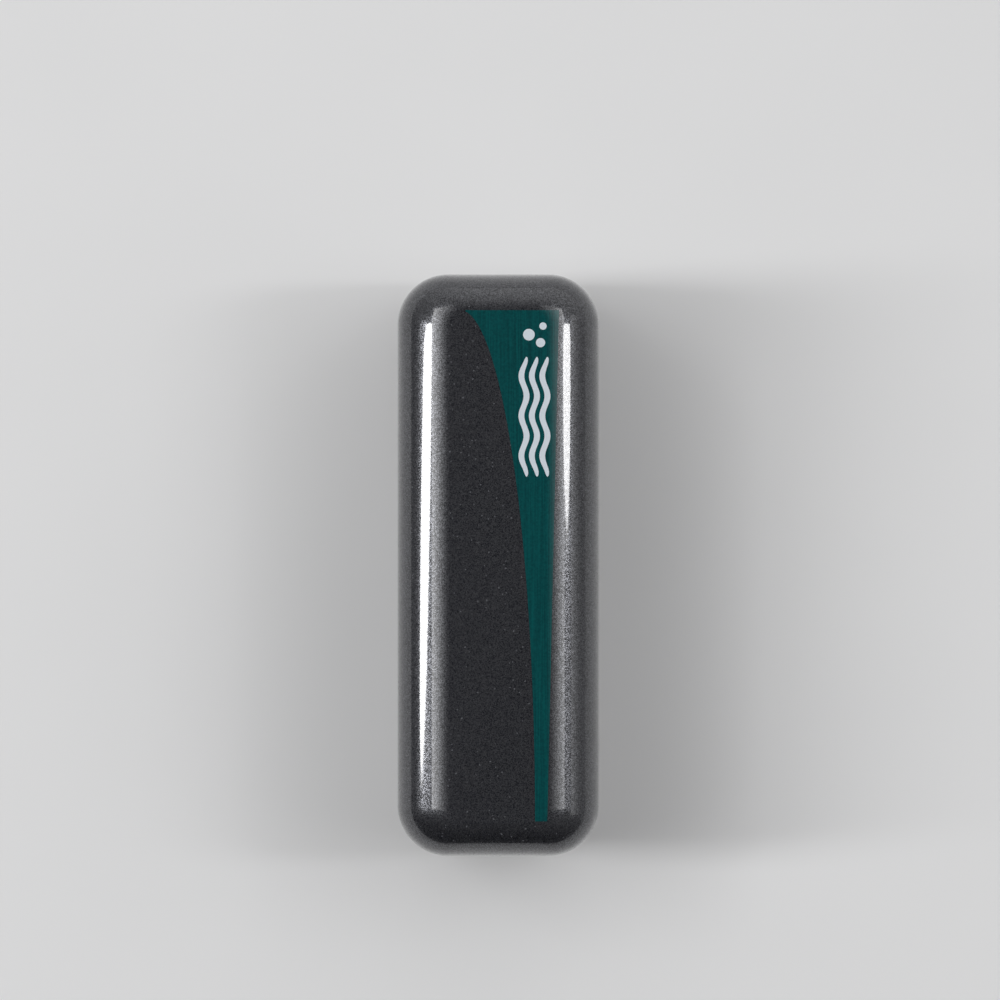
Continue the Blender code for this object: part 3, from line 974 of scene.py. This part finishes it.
def loop_pile():
    """Arches: half ellipses in random upright planes, from the sheet down to about the hooks' tops."""
    random = np.random.default_rng(8)
    feet = staggered(*LOOP_STEP, PAD_INSET + 0.4)
    turn = np.linspace(0, np.pi, 7)[None, :, None]
    aim = random.uniform(0, 2 * np.pi, (len(feet), 1, 1))
    wide = LOOP_HALF_WIDTH * np.cos(turn) * np.concatenate([np.cos(aim), np.sin(aim), 0 * aim], axis=-1)
    deep = -LOOP_DEPTH * np.sin(turn) * np.array([0.0, 0.0, 1.0])
    return tubes(feet[:, None] + wide + deep + (0.0, 0.0, backing_low + 0.02), LOOP_THREAD)


pile = piece("scrub_loop_pile", loop_pile(), loops_finish, "scrub_pad")
(WIDTH - 2 * PAD_INSET) * MM
(LENGTH - 2 * PAD_INSET) * MM

# %% [markdown]
# ## The hook tape
#
# The float half's face carries the hook side of the fastener: a nylon tape with rows of moulded hooks. One
# hook is a stem that curls over, and the rows face opposite ways in turn, so the pad holds both ways.

# %% Hook tape
TAPE_THICK = 0.45
HOOK_STEP = (1.15, 1.3)
HOOK_REACH = np.array([0.0, 0.02, 0.12, 0.28, 0.34])
HOOK_RISE = np.array([-0.1, 0.6, 0.93, 0.88, 0.62])
HOOK_RADIUS = 0.075
NYLON_BLACKS = (0.012, 0.012, 0.013), (0.030, 0.030, 0.033)


def hook_tape():
    """Tape with hooks: a hook's path is its reach to one side at each share of the room over the tape."""
    low, high = (corner[2] for corner in node_box("float_hook_tape"))
    tape = stack(pad_rings(low, low + TAPE_THICK, PAD_INSET, edge=0.15, inner_rings=3))
    feet = staggered(*HOOK_STEP, PAD_INSET + 0.6)
    side = np.where(np.round(feet[:, 1] / HOOK_STEP[1]) % 2 == 0, 1.0, -1.0)[:, None]
    reach = side * HOOK_REACH
    height = np.broadcast_to(HOOK_RISE * (high - low - TAPE_THICK), reach.shape)
    hooks = feet[:, None] + np.stack([reach, 0 * reach, height], axis=-1)
    return together(tape, tubes(hooks + (0.0, 0.0, low + TAPE_THICK), HOOK_RADIUS, sides=4))


def nylon():
    """Moulded nylon, duller than the bars."""
    finish = Finish("black_hook_nylon", Specular_IOR_Level=0.5)
    cloud = finish.noise(0.5, 3.0)
    colour = finish.mix(cloud, *NYLON_BLACKS)
    return finish.feed(Base_Color=colour, Roughness=0.42 + cloud * 0.2, Normal=finish.relief(cloud, 0.01))


piece("float_hook_tape_face", hook_tape(), nylon(), "float_half", ["float_hook_tape"])

# %% [markdown]
# ## What is sealed inside
#
# The magnets, keepers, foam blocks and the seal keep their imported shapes, which are right as they are. They
# get finishes of their own: nickel with a faint orange peel, zinc-plated steel with rolling lines, foam with
# open cells on its cut faces, and dull rubber.

# %% Finishes of the inner pieces
FOAM_CELL = 0.7
FOAM_WALL = (0.02, 0.12)
FOAM_WHITES = (0.62, 0.63, 0.60), (0.80, 0.81, 0.78)
NICKELS = (0.56, 0.54, 0.50), (0.68, 0.66, 0.61)
ZINCS = (0.40, 0.42, 0.45), (0.52, 0.54, 0.56)
RUBBERS = (0.018, 0.018, 0.018), (0.036, 0.036, 0.036)


def plated(name, dark, light, roughness, stretch):
    """Bright plating: metal with a faint grain, stretched along the bar where the sheet was rolled."""
    finish = Finish(name, Metallic=1.0)
    grain = finish.noise(0.4, 3.0, stretch)
    return finish.feed(
        Base_Color=finish.mix(grain, dark, light),
        Roughness=roughness + grain * 0.12,
        Normal=finish.relief(grain, 0.004),
    )


def foam_finish():
    """Cut cells: pale walls where the distance to a cell's edge is small."""
    finish = Finish("white_cell_foam")
    inputs = {"Vector": finish.place, "Scale": 1 / (FOAM_CELL * MM)}
    cells = finish.node("TexVoronoi", {"feature": "DISTANCE_TO_EDGE"}, inputs)
    wall = 1 - cells[0].step(*FOAM_WALL)
    colour = finish.mix(wall, *FOAM_WHITES)
    return finish.feed(Base_Color=colour, Roughness=0.85 + wall * 0.1, Normal=finish.relief(wall, 0.1))


def rubber_finish():
    """Dull black rubber."""
    finish = Finish("black_seal_rubber")
    cloud = finish.noise(0.4, 3.0)
    colour = finish.mix(cloud, *RUBBERS)
    return finish.feed(Base_Color=colour, Roughness=0.55 + cloud * 0.15, Normal=finish.relief(cloud, 0.01))


INNER_FINISHES = {
    "magnet": (plated("nickel_plate", *NICKELS, roughness=0.16, stretch=(1, 1, 1)), "nickel"),
    "keeper": (plated("zinc_plate", *ZINCS, roughness=0.28, stretch=(1, 40, 1)), "steel"),
    "foam": (foam_finish(), "foam"),
    "seal": (rubber_finish(), "seal_rubber"),
}


def finish_inner_nodes():
    """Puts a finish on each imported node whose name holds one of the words."""
    for name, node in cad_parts.items():
        for word, (material, slot) in INNER_FINISHES.items():
            if word in name:
                node.data.materials.clear()
                node.data.materials.append(material)
                print(f"{name}: {material.name}")


finish_inner_nodes()

# %% [markdown]
# ## The studio
#
# The bar lies on a plain pale floor. Two long lamps, left and right, show as the white streaks along the
# shoulders, and a row of dimmer ones inside each makes the soft glow beside the streak. One more row, low on
# the right, lightens the right flank. The walls are palest beyond the label's wide end. Straight overhead is
# dark, so the flat crown, which mirrors it, stays black.
#
# The lamps are told by the angles at which the bar sees them. They stand far off, which lights the floor
# evenly and changes nothing in the reflections.

# %% Floor, walls and lamps
FLOOR_HALF = 6.0
FLOOR_GREYS = (0.81, 0.81, 0.815), (0.84, 0.84, 0.845)
WALL_PALE = 0.50
WALL_PALER_TO_Y = 0.47
WALL_PALER_TO_X = 0.13
OVERHEAD_POWER = 8
LAMP_DISTANCE = 2.2
GLOW_TILTS = (6, 11, 16, 21, 26, 31, 36)
FLANK_TILTS = (74, 68, 62, 56)
CROWN_Z = cad_box[1][2]


def floor():
    """Square sheet at height 0."""
    mesh = bpy.data.meshes.new("floor")
    corners = [(x * FLOOR_HALF, y * FLOOR_HALF, 0.0) for x, y in ((-1, -1), (1, -1), (1, 1), (-1, 1))]
    mesh.from_pydata(corners, [], [(0, 1, 2, 3)])
    finish = Finish("pale_floor")
    cloud = finish.noise(40.0, 2.0)
    shade = finish.mix(cloud, *FLOOR_GREYS)
    mesh.materials.append(finish.feed(Base_Color=shade, Roughness=0.8 + cloud * 0.05))
    made = bpy.data.objects.new("floor", mesh)
    bpy.context.scene.collection.objects.link(made)
    made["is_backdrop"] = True


def walls():
    """World light: the square of a sum over the direction looked in, fading to nothing close to overhead."""
    world = bpy.data.worlds.new("studio")
    bpy.context.scene.world = world
    world.use_nodes = True
    web = Web(world.node_tree)
    aim = web.node("SeparateXYZ", {}, {0: web.node("TexCoord")["Generated"]})
    pale = (WALL_PALE + WALL_PALER_TO_Y * aim["Y"] + WALL_PALER_TO_X * aim["X"]).power(2)
    open_part = 1 - aim["Z"].power(OVERHEAD_POWER)
    background = world.node_tree.nodes["Background"].inputs
    web.put(background["Color"], (1.0, 1.0, 1.0))
    web.put(background["Strength"], pale * open_part)


def lamp(name, tilt, turn, wide, long, radiance, shift=0.0, twist=0.0, shape="ELLIPSE"):
    """Soft lamp facing the bar: tilt from straight above, turned about the upright axis, angles in degrees.

    wide is the angle it spans along the tilt, long its length in metres along the bar, shift its place along
    the bar, and twist turns it in its own plane. A lamp's power is pi times its area times the radiance that
    a mirror would show.
    """
    data = bpy.data.lights.new(name, "AREA")
    data.shape = shape
    data.size = 2 * LAMP_DISTANCE * math.tan(math.radians(wide / 2))
    data.size_y = long
    share = math.pi / 4 if shape == "ELLIPSE" else 1.0
    data.energy = math.pi * share * data.size * long * radiance
    made = bpy.data.objects.new(name, data)
    tilt, turn = math.radians(tilt), math.radians(turn)
    flat = LAMP_DISTANCE * math.sin(tilt)
    height = CROWN_Z + LAMP_DISTANCE * math.cos(tilt)
    made.location = (flat * math.cos(turn), flat * math.sin(turn) + shift, height)
    made.rotation_euler = (0.0, tilt, turn)
    made.rotation_euler.rotate_axis("Z", math.radians(twist))
    made.visible_camera = False
    bpy.context.scene.collection.objects.link(made)


def glow(name, turn, tilts, brightest, long, shift):
    """A row of lamps side by side. The radiance grows with the square of the place in the row."""
    step = abs(tilts[1] - tilts[0])
    for number, tilt in enumerate(tilts, start=1):
        radiance = brightest * (number / len(tilts)) ** 2
        lamp(f"{name} {number}", tilt, turn, step, long, radiance, shift, shape="RECTANGLE")


floor()
walls()
lamp("left streak", tilt=52, turn=180, wide=29, long=0.246, radiance=22.0, shift=0.02, twist=12.9)
lamp("right streak", tilt=43.5, turn=0, wide=16, long=0.19, radiance=17.0, shift=0.09)
glow("left glow", turn=180, tilts=GLOW_TILTS, brightest=5.0, long=1.3, shift=0.36)
glow("right glow", turn=0, tilts=GLOW_TILTS, brightest=3.0, long=1.3, shift=0.36)
glow("right flank", turn=0, tilts=FLANK_TILTS, brightest=0.9, long=1.3, shift=0.0)
bpy.context.scene.view_settings.view_transform = "Standard"
print(f"the studio has {len(bpy.data.lights)} lamps")

# %% [markdown]
# ## Sizes, and the end
#
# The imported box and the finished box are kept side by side, so that any growth shows.

# %% Keep both boxes and finish
boxes = {"cad": [list(corner) for corner in cad_box], "visual": [list(corner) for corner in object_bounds()]}
growth = np.abs(np.array(boxes["visual"]) - np.array(boxes["cad"])).max() / MM
print(f"the looks pass the packed box by {growth:.2f} mm at most")
